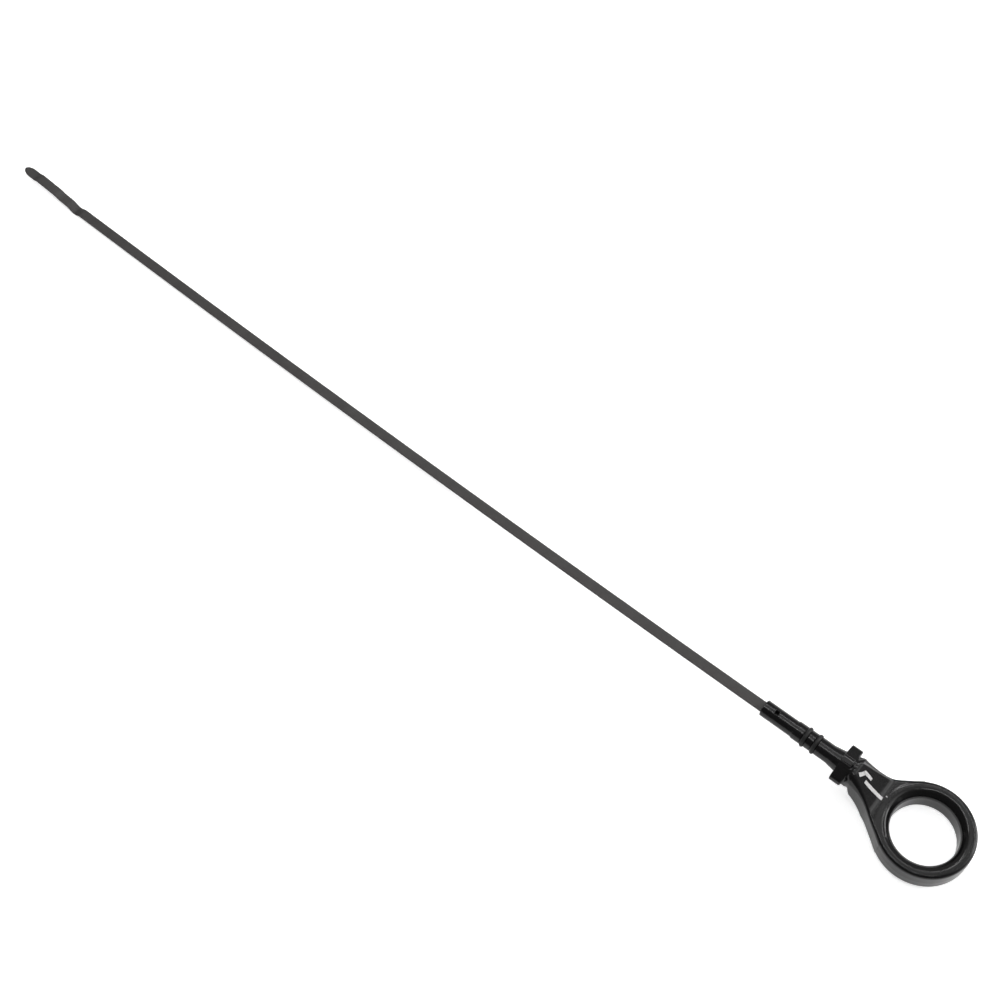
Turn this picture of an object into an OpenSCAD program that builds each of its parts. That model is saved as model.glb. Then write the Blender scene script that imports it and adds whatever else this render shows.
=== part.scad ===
// Engine oil dipstick: a springy steel strip moulded into a black plastic handle with a finger ring,
// lying on a table on the ring's back and on the strip's first crank.
// The handle's own frame has the ring's centre at its origin, the ring's face towards +Z and the shank
// towards -X. The whole stick is then turned about Y by the small angle at which it comes to rest.

/* [Finger ring] */
// Outer radius of the finger ring
ring_r = 20.1; // [17:0.1:24]
// Width of the ring, from the finger hole's straight wall to the outside
ring_w = 6.3; // [5.6:0.1:8]
// Thickness of the ring
ring_t = 11.8; // [10:0.1:14]
// Width of the countersink round the front of the finger hole
lip_w = 2.4; // [0.8:0.1:2.6]
// Depth of the countersink round the front of the finger hole
lip_d = 2.7; // [0.8:0.1:4]
// Chamfer round the back of the finger hole
back_lip = 0.8; // [0.3:0.1:1.5]
// Rounding of the ring's outer edges
ring_edge = 1.6; // [0.3:0.1:1.8]

/* [Neck] */
// Distance from the ring's centre to the collar's seat face
ring_reach = 40.9; // [38:0.1:50]
// Height of the shank's axis above the ring's middle plane
axis_rise = 11.4; // [7:0.1:13]
// Width of the round neck where it leaves the collar
neck_w = 13.1; // [11:0.1:14]
// Radius of the flare's arc beside the neck
flare_r = 19; // [6:0.5:26]
// Angle at which the flare's straight sides meet the ring
flare_angle = 36.5; // [32:0.5:42]
// Height of the neck's front above the shank's axis
neck_top = 5.3; // [4.6:0.1:5.8]
// Length over which the neck's front rises behind the collar, before it slopes
neck_flat = 2.7; // [0.5:0.1:4]
// Rise of the neck's front over that length
neck_lift = 0.9; // [0.1:0.1:1.2]
// Angle at which the neck's front face slopes down to the ring
face_angle = 40; // [34:0.5:46]
// Rounding of the neck's front edges at the collar
neck_round = 5.8; // [4:0.1:6]
// How fast that rounding fades towards the hollow
round_fade = 2; // [1:0.1:3]
// Rounding of the neck's back edges at the collar
back_round = 3.8; // [3:0.1:5]
// Radius of the hollow between the sloping face and the ring
face_r = 6.5; // [4:0.5:14]
// Rounding of the sloping face's long edges at the hollow
face_edge = 1.2; // [0.4:0.1:1.8]
// Distance from the ring's centre at which the neck's back has come down to the ring's back
sole_end = 24; // [21:0.1:28]
// Distance behind the collar at which the neck's back steps down
web_gap = 1.6; // [1:0.1:3]
// Length of that step
web_l = 2.2; // [1:0.1:3]
// Height of that step
web_h = 2.1; // [1:0.1:3]
// Rounding of the neck's back edges after that step
web_edge = 3; // [1:0.1:4]
// Diameter of the round gate mark behind the key
gate_d = 1.8; // [1:0.1:3]
// Height of the round gate mark
gate_h = 0.3; // [0.2:0.1:0.6]
// Distance of the gate mark from the collar
gate_gap = 1.1; // [1:0.1:2]
// Sideways place of the gate mark
gate_side = -0.4; // [-1:0.1:1]

/* [Collar] */
// Thickness of the collar along the shank
collar_t = 5; // [3:0.1:7]
// Width of the collar across its two wings
wings_w = 17.8; // [15:0.1:20]
// Height of the collar's round middle
wings_h = 10.4; // [9.9:0.1:11]
// Radius of the round ends of the collar's wings
wing_round = 2.6; // [1.5:0.1:3.2]
// Width of the key on the front of the collar
key_w = 3.5; // [2:0.1:5]
// Height of the key's top above the shank's axis
key_top = 6; // [5.7:0.1:8]
// Radius of the key's crowned top
key_crown = 6; // [4:0.5:12]

/* [Shank] */
// Diameter of the thin sleeve round the strip
sleeve_d = 7.3; // [6.4:0.1:7.4]
// Length of the thin sleeve
sleeve_l = 15.2; // [12:0.1:22]
// Diameter of the shank that holds the seals
shank_d = 8; // [7.5:0.1:8.4]
// Length of the shank, from the sleeve to the start of the flare
shank_l = 16.8; // [15:0.1:22]
// Length of the flare between the shank and the collar
flare_l = 5; // [3:0.1:8]
// Diameter of the flare at the collar
flare_d = 9.7; // [9:0.1:9.8]
// Chamfer at the sleeve's open end
sleeve_edge = 0.3; // [0.1:0.1:0.6]
// Side of the small square hole that a core pin leaves in the sleeve
core_hole = 1.3; // [0.8:0.1:2]
// Distance of that hole from the sleeve's end
core_hole_gap = 5.9; // [3:0.1:7]

/* [Seals] */
// Outer diameter of the O-rings
seal_d = 9.2; // [8.7:0.1:9.6]
// Thickness of an O-ring's section
seal_t = 1.8; // [1.4:0.1:2]
// Distance of the upper O-ring's middle from the start of the flare
seal_gap = 6.6; // [5:0.1:8]
// Distance between the two O-rings' middles
seal_pitch = 4.9; // [3:0.1:5.5]
// Width of an O-ring's groove beyond the O-ring's own
groove_play = 0.3; // [0.2:0.1:0.6]

/* [Strip] */
// Width of the strip
strip_w = 5; // [4:0.1:5.4]
// Thickness of the strip
strip_t = 1; // [0.6:0.1:1.2]
// Length of the strip from the sleeve to its first crank
strip_l = 415; // [200:1:600]
// Angle through which the springy strip bows upwards over that length
strip_bow = 4; // [1:0.1:6]
// Length of the strip's root inside the sleeve
root_l = 16.5; // [12:0.1:18]
// Diameter of the hole through the strip's root
anchor_d = 2.4; // [1.5:0.1:3]
// Distance of that hole from the sleeve's end
anchor_gap = 12; // [10:0.1:13]
// Gap between the strip's root and the plastic round it
root_gap = 0.04; // [0.02:0.01:0.1]

/* [Level marks] */
// Length of each short bend in the strip
bend_l = 1.5; // [1:0.1:2.5]
// Depth of the dip before the first crank
dip_h = 1.5; // [0.5:0.1:2.5]
// Distance from the bow's end to that dip
dip_l = 3.5; // [2:0.1:6]
// Rise of the upper level mark's crank
upper_rise = 2.1; // [1:0.1:3]
// Length of that crank
upper_l = 3.7; // [2.5:0.1:5]
// Distance from the upper level mark to the lower one
mark_pitch = 9.6; // [8:0.1:20]
// Slow rise of the strip between the two marks
mark_rise = 0.5; // [0:0.1:1]
// Rise of the lower level mark's crank
lower_rise = 1.1; // [0.5:0.1:2.5]
// Length of that crank
lower_l = 2.6; // [2:0.1:4]
// Length of the gauging tongue past the lower level mark
tongue_l = 13.3; // [8:0.1:25]
// Slow rise of the strip along the tongue
tongue_rise = 1.1; // [0:0.1:2]
// Height of the small step down at the tongue's end
end_drop = 0.8; // [0.3:0.1:1.5]
// Length of that step
end_drop_l = 2; // [1.5:0.1:4]
// Length of the tip past that step
tip_l = 8.7; // [7:0.1:15]
// Slow rise of the strip along the tip
tip_rise = 0.3; // [0:0.1:1]
// Length of the tip's rounding
tip_round = 4.6; // [2:0.1:6]

/* [Hidden] */
eps = 0.02;
round_fn = 96;
// How far a cutting solid reaches past what it cuts
cut_over = 1;

// Radius of the finger hole's straight wall
hole_r = ring_r - ring_w;

// Places along the shank, from the ring's centre
seat_x = -ring_reach;
collar_back_x = seat_x + collar_t;
flare_x = seat_x - flare_l;
shank_x = flare_x - shank_l;
sleeve_x = shank_x - sleeve_l;
upper_seal_x = flare_x - seal_gap;
lower_seal_x = upper_seal_x - seal_pitch;
slope_start_x = collar_back_x + neck_flat;
web_x = collar_back_x + web_gap;

// Heights above the ring's middle plane
ring_top = ring_t / 2;
neck_top_z = axis_rise + neck_top;
neck_back_z = axis_rise - neck_w / 2;

// The place where the flare's straight side touches the ring's circle
touch_x = -ring_r * sin(flare_angle);
touch_y = ring_r * cos(flare_angle);

// Centre of the flare's arc, which touches the neck's side and the straight side
flare_y = neck_w / 2 + flare_r;
flare_cx = touch_x + ((flare_y - touch_y) * cos(flare_angle) - flare_r) / sin(flare_angle);
flare_end_x = flare_cx + flare_r * sin(flare_angle);

// Half of the neck's width at a distance along the shank
function half_width(x) =
    x < flare_cx ? neck_w / 2 :
    x < flare_end_x ? flare_y - sqrt(flare_r * flare_r - pow(x - flare_cx, 2)) :
    touch_y + (x - touch_x) * tan(flare_angle);

// Height of the cylinder that keeps the neck out of the ring's middle
ring_cut_h = 3 * ring_t;

// Height of the neck's front: a short rise, then a slope, then a hollow that runs out on the ring's face
face_foot_x = slope_start_x + (neck_top_z - ring_top) / tan(face_angle);
hollow_l = face_r * tan(face_angle / 2);
hollow_start_x = face_foot_x - hollow_l * cos(face_angle);
hollow_end_x = face_foot_x + hollow_l;
function face_z(x) =
    x < slope_start_x ? neck_top_z - neck_lift * pow((slope_start_x - x) / neck_flat, 2) :
    x < hollow_start_x ? neck_top_z - (x - slope_start_x) * tan(face_angle) :
    x < hollow_end_x ? ring_top + face_r - sqrt(face_r * face_r - pow(hollow_end_x - x, 2)) :
    ring_top;

// Height of the neck's back: a soft step down, on a straight slope from the round neck to the ring's back
function part_of(x, from, length) = min(1, max(0, (x - from) / length));
function back_z(x) =
    let (step = web_h * (1 - cos(180 * part_of(x, web_x, web_l))) / 2)
    neck_back_z - step - (neck_back_z - web_h + ring_top) * part_of(x, web_x, -sole_end - web_x);

// Radii of the neck's corners: nearly a round bar at the collar, the ring's own edge at the ring
web_end_x = web_x + web_l;
function front_corner(x) =
    let (near = 1 - part_of(x, collar_back_x, hollow_start_x - collar_back_x))
    face_edge + (neck_round - face_edge) * pow(near, round_fade)
    + (ring_edge - face_edge) * part_of(x, hollow_start_x, touch_x - hollow_start_x);
function back_corner(x) =
    let (near = part_of(x, collar_back_x, web_end_x - collar_back_x))
    x < web_end_x ? back_round + (web_edge - back_round) * near * near :
    web_edge + (ring_edge - web_edge) * part_of(x, web_end_x, touch_x - web_end_x);

// The strip's middle line, in the handle's frame, as points [x, z] from the sleeve to the tip
bow_r = strip_l / (strip_bow * PI / 180);
bow_steps = 40;
function bow_point(a) = [sleeve_x - bow_r * sin(a), axis_rise + bow_r * (1 - cos(a))];
bow_end = bow_point(strip_bow);
// A point at a distance along and a height above the bowed strip's last direction
function past(l, h) =
    bow_end + [-l * cos(strip_bow) + h * sin(strip_bow), l * sin(strip_bow) + h * cos(strip_bow)];
crank_l = dip_l + bend_l;
upper_top_l = crank_l + upper_l;
upper_top_h = upper_rise - dip_h;
lower_foot_l = crank_l + mark_pitch;
lower_foot_h = upper_top_h + mark_rise;
lower_top_l = lower_foot_l + lower_l;
lower_top_h = lower_foot_h + lower_rise;
tongue_end_l = lower_top_l + tongue_l;
tongue_end_h = lower_top_h + tongue_rise;
drop_end_l = tongue_end_l + end_drop_l;
drop_end_h = tongue_end_h - end_drop;
marks = [
    past(dip_l, -dip_h),
    past(crank_l, -dip_h),
    past(upper_top_l, upper_top_h),
    past(lower_foot_l, lower_foot_h),
    past(lower_top_l, lower_top_h),
    past(tongue_end_l, tongue_end_h),
    past(drop_end_l, drop_end_h),
    past(drop_end_l + tip_l, drop_end_h + tip_rise)
];
root_end = [sleeve_x + root_l, axis_rise];
middle = concat(
    [root_end],
    [for (i = [0:bow_steps]) bow_point(strip_bow * i / bow_steps)],
    marks
);

// Direction of the middle line at a point, and the point moved sideways by a distance
function unit(v) = v / norm(v);
function along(i) = unit(middle[min(i + 1, len(middle) - 1)] - middle[max(i - 1, 0)]);
function shifted(i, d) = middle[i] + d * [along(i)[1], -along(i)[0]];

// Angle at which the stick comes to rest, with the ring's back and the first crank on the table
rest_sole = [-sole_end, -ring_top];
rest_crank = past(crank_l, -dip_h - strip_t / 2);
rest_tilt = atan2(rest_crank[1] - rest_sole[1], rest_sole[0] - rest_crank[0]);

module lying() {
    rotate([0, -rest_tilt, 0])
        children();
}

// Points of a rounding in a section: centre, radius, first and last angle
function arc(c, r, a0, a1, n = 4) =
    [for (i = [0:n]) let (a = a0 + (a1 - a0) * i / n) c + r * [cos(a), sin(a)]];

module ring_section() {
    polygon(concat(
        [[hole_r, -ring_top + back_lip], [hole_r + back_lip, -ring_top]],
        arc([ring_r - ring_edge, -ring_top + ring_edge], ring_edge, -90, 0),
        arc([ring_r - ring_edge, ring_top - ring_edge], ring_edge, 0, 90),
        [[hole_r + lip_w, ring_top], [hole_r, ring_top - lip_d]]
    ));
}

module ring() {
    rotate_extrude($fn = round_fn)
        ring_section();
}

// A section of the neck across the shank, as points [x, y, z] round a rectangle with round corners
corner_steps = 6;
function corner(x, y, z, r, a0) =
    [for (i = [0:corner_steps]) let (a = a0 + 90 * i / corner_steps) [x, y + r * cos(a), z + r * sin(a)]];
function neck_section(x) =
    let (w = half_width(x), f = front_corner(x), b = back_corner(x), top = face_z(x), low = back_z(x))
    concat(
        corner(x, w - f, top - f, f, 0),
        corner(x, f - w, top - f, f, 90),
        corner(x, b - w, low + b, b, 180),
        corner(x, w - b, low + b, b, 270)
    );

// The neck as a skin over sections that run from the collar into the ring
module neck_skin() {
    sections = 26;
    count = 4 * (corner_steps + 1);
    first = collar_back_x - eps;
    points = [for (i = [0:sections]) each neck_section(first + (touch_x - first) * i / sections)];
    sides = [for (i = [0:sections - 1], j = [0:count - 1])
        let (a = i * count + j, b = i * count + (j + 1) % count)
        each [[a, a + count, b + count], [a, b + count, b]]];
    ends = [[for (j = [0:count - 1]) j], [for (j = [count - 1:-1:0]) sections * count + j]];
    polyhedron(points, concat(sides, ends));
}

module gate_mark() {
    translate([collar_back_x + gate_gap, gate_side, axis_rise])
        cylinder(d = gate_d, h = neck_top + gate_h, $fn = 32);
}

module neck() {
    difference() {
        neck_skin();
        cylinder(r = (hole_r + lip_w + ring_r) / 2, h = ring_cut_h, center = true, $fn = round_fn);
    }
    gate_mark();
}

// The flange's section is a round hub and two round wing ends, joined by flats that touch all three
hub_r = wings_h / 2;
wing_tip = wings_w / 2 - wing_round;
flat_lean = asin((hub_r - wing_round) / wing_tip);

// The place on a round part, on one side of the hub, at which its upper flat touches it
function touch(y, r, side) = [side * (y + r * sin(flat_lean)), r * cos(flat_lean)];

module flats() {
    upper = [
        touch(wing_tip, wing_round, -1),
        touch(0, hub_r, -1),
        touch(0, hub_r, 1),
        touch(wing_tip, wing_round, 1)
    ];
    last = len(upper) - 1;
    rotate([90, 0, 90])
        linear_extrude(collar_t)
            polygon(concat(upper, [for (i = [last:-1:0]) [upper[i][0], -upper[i][1]]]));
}

module round_part(y, r) {
    translate([0, y, 0])
        rotate([0, 90, 0])
            cylinder(r = r, h = collar_t, $fn = round_fn);
}

module flange() {
    flats();
    round_part(0, hub_r);
    round_part(-wing_tip, wing_round);
    round_part(wing_tip, wing_round);
}

// The key's section across the shank, with a crowned top
module key() {
    side = key_w / 2;
    lean = asin(side / key_crown);
    rotate([90, 0, 90])
        linear_extrude(collar_t)
            polygon(concat(
                [[-side, 0], [side, 0]],
                arc([0, key_top - key_crown], key_crown, 90 - lean, 90 + lean, 8)
            ));
}

module collar() {
    translate([seat_x, 0, axis_rise]) {
        flange();
        key();
    }
}

// Half of the shank's section, along the shank and outwards, without its grooves
module shank_section() {
    polygon([
        [sleeve_x, 0],
        [sleeve_x, sleeve_d / 2 - sleeve_edge],
        [sleeve_x + sleeve_edge, sleeve_d / 2],
        [shank_x, sleeve_d / 2],
        [shank_x, shank_d / 2],
        [flare_x, shank_d / 2],
        [seat_x, flare_d / 2],
        [seat_x + collar_t / 2, flare_d / 2],
        [seat_x + collar_t / 2, 0]
    ]);
}

module shank() {
    translate([0, 0, axis_rise])
        rotate([0, 90, 0])
            rotate_extrude($fn = round_fn)
                rotate(90)
                    shank_section();
}

module groove(x) {
    groove_l = seal_t + groove_play;
    translate([x - groove_l / 2, 0, axis_rise])
        rotate([0, 90, 0])
            difference() {
                cylinder(r = seal_d, h = groove_l, $fn = round_fn);
                translate([0, 0, -cut_over])
                    cylinder(r = seal_d / 2 - seal_t, h = groove_l + 2 * cut_over, $fn = round_fn);
            }
}

// Height of a cylinder that goes right through the strip
anchor_cut_h = 4 * strip_t;

// Room for the strip's root, with the plastic that fills the hole through it
module root_room() {
    room_w = strip_w + 2 * root_gap;
    room_t = strip_t + 2 * root_gap;
    difference() {
        translate([sleeve_x - cut_over, -room_w / 2, axis_rise - room_t / 2])
            cube([root_l + cut_over + root_gap, room_w, room_t]);
        translate([sleeve_x + anchor_gap, 0, axis_rise])
            cylinder(d = anchor_d - 2 * root_gap, h = anchor_cut_h, center = true, $fn = 48);
    }
}

module core_pin_hole() {
    translate([sleeve_x + core_hole_gap - core_hole / 2, -core_hole / 2, axis_rise])
        cube([core_hole, core_hole, sleeve_d]);
}

module handle() {
    color("#1c1c1e")
        lying()
            difference() {
                union() {
                    ring();
                    neck();
                    collar();
                    shank();
                }
                groove(lower_seal_x);
                groove(upper_seal_x);
                root_room();
                core_pin_hole();
            }
}

module o_ring(x) {
    color("#38383a")
        lying()
            translate([x, 0, axis_rise])
                rotate([0, 90, 0])
                    rotate_extrude($fn = round_fn)
                        translate([seal_d / 2 - seal_t / 2, 0])
                            circle(d = seal_t, $fn = 48);
}

module o_ring_lower() {
    o_ring(lower_seal_x);
}

module o_ring_upper() {
    o_ring(upper_seal_x);
}

// The strip seen from the side: its middle line given its thickness
module strip_side() {
    last = len(middle) - 1;
    polygon(concat(
        [for (i = [0:last]) shifted(i, strip_t / 2)],
        [for (i = [last:-1:0]) shifted(i, -strip_t / 2)]
    ));
}

// The strip seen from the front: straight sides and a rounded tip
module strip_outline() {
    tip = middle[len(middle) - 1];
    steps = 12;
    polygon(concat(
        [[root_end[0] + cut_over, -strip_w], [tip[0] + tip_round, -strip_w]],
        [for (i = [0:steps]) let (a = 180 * i / steps)
            [tip[0] + tip_round * (1 - sin(a)), -strip_w / 2 * cos(a)]],
        [[tip[0] + tip_round, strip_w], [root_end[0] + cut_over, strip_w]]
    ));
}

// Height of a slab that holds the whole bowed strip
strip_slab_h = 2 * (middle[len(middle) - 1][1] + strip_w);

module blade() {
    color("#4b4a49")
        lying()
            difference() {
                intersection() {
                    rotate([90, 0, 0])
                        linear_extrude(strip_w, center = true)
                            strip_side();
                    linear_extrude(strip_slab_h, center = true)
                        strip_outline();
                }
                translate([sleeve_x + anchor_gap, 0, axis_rise])
                    cylinder(d = anchor_d, h = anchor_cut_h, center = true, $fn = 48);
            }
}

handle();
o_ring_lower();
o_ring_upper();
blade();
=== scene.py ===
# %% [markdown]
# # An engine oil dipstick, piece by piece
#
# The stick has four pieces: a springy steel strip, a black moulded handle with a finger ring, and two
# rubber O-rings. It lies on a table as it would come to rest, with the ring's back and the strip's first
# crank touching the table. This lesson makes each piece as a surface that numpy works out, gives it a
# procedural finish, and ends with plain studio light and a camera.

import math

import bpy
import numpy as np
from mathutils import Matrix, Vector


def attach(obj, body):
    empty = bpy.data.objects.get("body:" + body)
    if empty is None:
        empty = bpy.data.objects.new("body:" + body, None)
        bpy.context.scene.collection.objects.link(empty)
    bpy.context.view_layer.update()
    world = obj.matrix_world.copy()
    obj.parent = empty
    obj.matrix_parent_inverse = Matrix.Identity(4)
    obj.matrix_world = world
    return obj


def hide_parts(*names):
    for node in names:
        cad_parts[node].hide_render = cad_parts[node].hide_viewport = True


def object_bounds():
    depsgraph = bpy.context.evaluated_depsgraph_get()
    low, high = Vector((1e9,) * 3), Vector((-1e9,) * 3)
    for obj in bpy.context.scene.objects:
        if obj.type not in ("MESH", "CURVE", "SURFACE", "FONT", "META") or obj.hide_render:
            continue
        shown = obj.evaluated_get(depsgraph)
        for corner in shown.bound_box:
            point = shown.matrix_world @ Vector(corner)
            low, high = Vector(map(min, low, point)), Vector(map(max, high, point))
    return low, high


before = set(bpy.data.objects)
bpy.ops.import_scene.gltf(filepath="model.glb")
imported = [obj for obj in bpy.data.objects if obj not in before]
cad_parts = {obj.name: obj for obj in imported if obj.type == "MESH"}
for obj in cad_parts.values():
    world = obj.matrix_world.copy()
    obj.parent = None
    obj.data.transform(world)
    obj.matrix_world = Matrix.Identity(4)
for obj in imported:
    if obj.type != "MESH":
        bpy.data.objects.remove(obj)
cad_box = [list(corner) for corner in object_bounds()]
print("nodes:", sorted(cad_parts), "box:", cad_box)

# %% [markdown]
# ## Driving sizes
#
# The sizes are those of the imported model, in millimetres. The handle's own frame has the ring's centre
# at its origin, the ring's face towards +Z and the shank towards -X. Everything is worked out in that
# frame first, and one turn at the end lays the stick on the table.

# %% Sizes of the handle
MM = 0.001
RING_R, HOLE_R, RING_T = 20.1, 13.8, 11.8
LIP_W, LIP_D, RING_EDGE = 2.4, 2.7, 1.6
RING_REACH, AXIS_RISE = 40.9, 11.4
NECK_W, NECK_TOP, NECK_FLAT, NECK_LIFT = 13.1, 5.3, 2.7, 0.9
FLARE_R, FLARE_ANGLE = 19.0, math.radians(36.5)
FACE_ANGLE, FACE_R, FACE_EDGE = math.radians(40), 6.5, 1.2
NECK_ROUND, ROUND_FADE, BACK_ROUND = 5.8, 2.0, 3.8
SOLE_END = 24.0
WEB_GAP, WEB_L, WEB_H, WEB_EDGE = 1.6, 2.2, 2.1, 3.0
COLLAR_T, WINGS_W, WINGS_H, WING_ROUND = 5.0, 17.8, 10.4, 2.6
KEY_W, KEY_TOP, KEY_CROWN = 3.5, 6.0, 6.0
GATE_D, GATE_H, GATE_GAP, GATE_SIDE = 1.8, 0.3, 1.1, -0.4
RING_TOP = RING_T / 2
SEAT_X = -RING_REACH
COLLAR_BACK_X = SEAT_X + COLLAR_T
print("collar from", SEAT_X, "to", COLLAR_BACK_X, "mm from the ring's centre")

# %% Sizes of the shank and the seals
SLEEVE_D, SLEEVE_L = 7.3, 15.2
SHANK_D, SHANK_L = 8.0, 16.8
CONE_L, CONE_D = 5.0, 9.7
SEAL_D, SEAL_T, SEAL_GAP, SEAL_PITCH, GROOVE_PLAY = 9.2, 1.8, 6.6, 4.9, 0.3
CORE_HOLE, CORE_HOLE_GAP = 1.3, 5.9
CONE_X = SEAT_X - CONE_L
SHANK_X = CONE_X - SHANK_L
SLEEVE_X = SHANK_X - SLEEVE_L
SEALS_X = (CONE_X - SEAL_GAP - SEAL_PITCH, CONE_X - SEAL_GAP)
print("sleeve ends at", round(SLEEVE_X, 2), "and the seals stand at", SEALS_X)

# %% Sizes of the strip
STRIP_W, STRIP_T, STRIP_L = 5.0, 1.0, 415.0
STRIP_BOW = math.radians(4)
ROOT_L = 16.5
DIP_H, DIP_L, BEND_L = 1.5, 3.5, 1.5
UPPER_RISE, UPPER_L, MARK_PITCH, MARK_RISE = 2.1, 3.7, 9.6, 0.5
LOWER_RISE, LOWER_L = 1.1, 2.6
TONGUE_L, TONGUE_RISE, END_DROP, END_DROP_L = 13.3, 1.1, 0.8, 2.0
TIP_L, TIP_RISE, TIP_ROUND = 8.7, 0.3, 4.6
print("strip", STRIP_W, "x", STRIP_T, "mm")

# %% [markdown]
# ## The strip's middle line
#
# A strip like this is cut from a coil, so it keeps a gentle bow. The bow is an arc of a large circle that
# leaves the sleeve straight. Past the arc, press tools crank the strip: a short dip, then a step up for
# the upper level mark, another for the lower one, a tongue that the oil wets, and a thin rounded tip.

# %% Points of the strip's middle line
BOW_R = STRIP_L / STRIP_BOW


def bow_points(angles):
    """A circle of radius BOW_R that starts along -X at the sleeve and bends upwards."""
    return np.stack([SLEEVE_X - BOW_R * np.sin(angles), AXIS_RISE + BOW_R * (1 - np.cos(angles))], -1)


def past_bow(length, height):
    """A place past the bow's end: a distance along its last direction and a height above it."""
    end = bow_points(np.array(STRIP_BOW))
    along = np.array([-math.cos(STRIP_BOW), math.sin(STRIP_BOW)])
    above = np.array([math.sin(STRIP_BOW), math.cos(STRIP_BOW)])
    return end + length * along + height * above


CRANK_L = DIP_L + BEND_L
UPPER_TOP = (CRANK_L + UPPER_L, UPPER_RISE - DIP_H)
LOWER_FOOT = (CRANK_L + MARK_PITCH, UPPER_TOP[1] + MARK_RISE)
LOWER_TOP = (LOWER_FOOT[0] + LOWER_L, LOWER_FOOT[1] + LOWER_RISE)
TONGUE_END = (LOWER_TOP[0] + TONGUE_L, LOWER_TOP[1] + TONGUE_RISE)
DROP_END = (TONGUE_END[0] + END_DROP_L, TONGUE_END[1] - END_DROP)
STRIP_END = (DROP_END[0] + TIP_L, DROP_END[1] + TIP_RISE)
MARKS = [
    (DIP_L, -DIP_H), (CRANK_L, -DIP_H), UPPER_TOP, LOWER_FOOT,
    LOWER_TOP, TONGUE_END, DROP_END, STRIP_END,
]
BOW_STEPS = 40
MIDDLE = np.vstack([
    [[SLEEVE_X + ROOT_L, AXIS_RISE]],
    bow_points(np.linspace(0, STRIP_BOW, BOW_STEPS + 1)),
    [past_bow(*mark) for mark in MARKS],
])
print("the strip's tip is at", MIDDLE[-1].round(1))

# %% [markdown]
# ## Laying the stick down
#
# A line from the back edge of the ring to the underside of the first crank is the line that touches the
# table. Its slope is the angle through which the whole stick is turned about Y.

# %% The turn that lays the stick on the table
REST_SOLE = np.array([-SOLE_END, -RING_TOP])
REST_CRANK = past_bow(CRANK_L, -DIP_H - STRIP_T / 2)
REST_TILT = math.atan2(REST_CRANK[1] - REST_SOLE[1], REST_SOLE[0] - REST_CRANK[0])
LYING = np.array([
    [math.cos(REST_TILT), 0, -math.sin(REST_TILT)],
    [0, 1, 0],
    [math.sin(REST_TILT), 0, math.cos(REST_TILT)],
])


def lay(points):
    """Turns points of the handle's frame about Y by the resting angle and makes them metres."""
    return points @ LYING.T * MM


print("resting angle:", round(math.degrees(REST_TILT), 2), "degrees")

# %% [markdown]
# ## From arrays to a mesh
#
# Every piece ends as arrays of points and faces. One helper hands them to Blender with `foreach_set`,
# which is much faster than adding faces one by one, and keeps the exact normals where they are known.

# %% A helper that makes a mesh object
def mesh_object(name, points, quads, tris, normals=None):
    """Makes an object at the origin from points in the handle's frame, four-sided and three-sided faces."""
    mesh = bpy.data.meshes.new(name)
    mesh.vertices.add(len(points))
    mesh.vertices.foreach_set("co", lay(points).astype(np.float32).ravel())
    loops = np.concatenate([quads.ravel(), tris.ravel()]).astype(np.int32)
    counts = np.concatenate([np.full(len(quads), 4), np.full(len(tris), 3)])
    mesh.loops.add(len(loops))
    mesh.loops.foreach_set("vertex_index", loops)
    mesh.polygons.add(len(counts))
    mesh.polygons.foreach_set("loop_start", np.concatenate([[0], np.cumsum(counts)[:-1]]).astype(np.int32))
    mesh.update(calc_edges=True)
    mesh.validate()
    mesh.shade_smooth()
    if normals is not None:
        mesh.normals_split_custom_set_from_vertices((normals @ LYING.T).astype(np.float32))
    piece = bpy.data.objects.new(name, mesh)
    bpy.context.scene.collection.objects.link(piece)
    print(name, "has", len(points), "points and", len(quads), "+", len(tris), "faces")
    return piece


def closed_tube(rows):
    """Faces of a tube whose first and last rows are each one point repeated: a pole at each end."""
    count, around = rows.shape[0] - 2, rows.shape[1]
    points = np.vstack([rows[1:-1].reshape(-1, 3), rows[0, :1], rows[-1, :1]])
    number = np.arange(count * around).reshape(count, around)
    after = np.roll(number, -1, axis=1)
    quads = np.stack([number[:-1], after[:-1], after[1:], number[1:]], -1).reshape(-1, 4)
    first, last = np.full(around, count * around), np.full(around, count * around + 1)
    tris = np.vstack([
        np.stack([first, after[0], number[0]], -1),
        np.stack([last, number[-1], after[-1]], -1),
    ])
    return points, quads, tris


# %% [markdown]
# ## The handle's head as a field of distances
#
# The collar, the round neck, its sloping front and the ring are one moulding, and they melt into each
# other with hollows of different sizes. Booleans and bevels break on such junctions. A field does not:
# each form is a function that gives the distance from its surface, negative inside, and two small
# formulas join or cut forms with a rounding of any radius.

# %% Joining and cutting with a radius
def joined(a, b, radius):
    """Both solids together, with a hollow of that radius in the corner between them.
    Where both distances are under the radius, the corner is a quarter circle centred a radius away."""
    corner = np.hypot(np.maximum(radius - a, 0), np.maximum(radius - b, 0))
    return np.maximum(radius, np.minimum(a, b)) - corner


def common(a, b, radius):
    """What two solids share, with the edge between their surfaces rounded with that radius."""
    corner = np.hypot(np.maximum(radius + a, 0), np.maximum(radius + b, 0))
    return np.minimum(-radius, np.maximum(a, b)) + corner


# %% [markdown]
# ## The neck's three guiding lines
#
# Seen from the front, the neck is a bar whose sides flare: an arc, then a straight line that touches the
# ring's circle. Seen from the side, its front rises a little, slopes down at 40 degrees and ends in a
# hollow that runs out on the ring's face. Its back steps down softly, then slopes to the ring's back.

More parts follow.
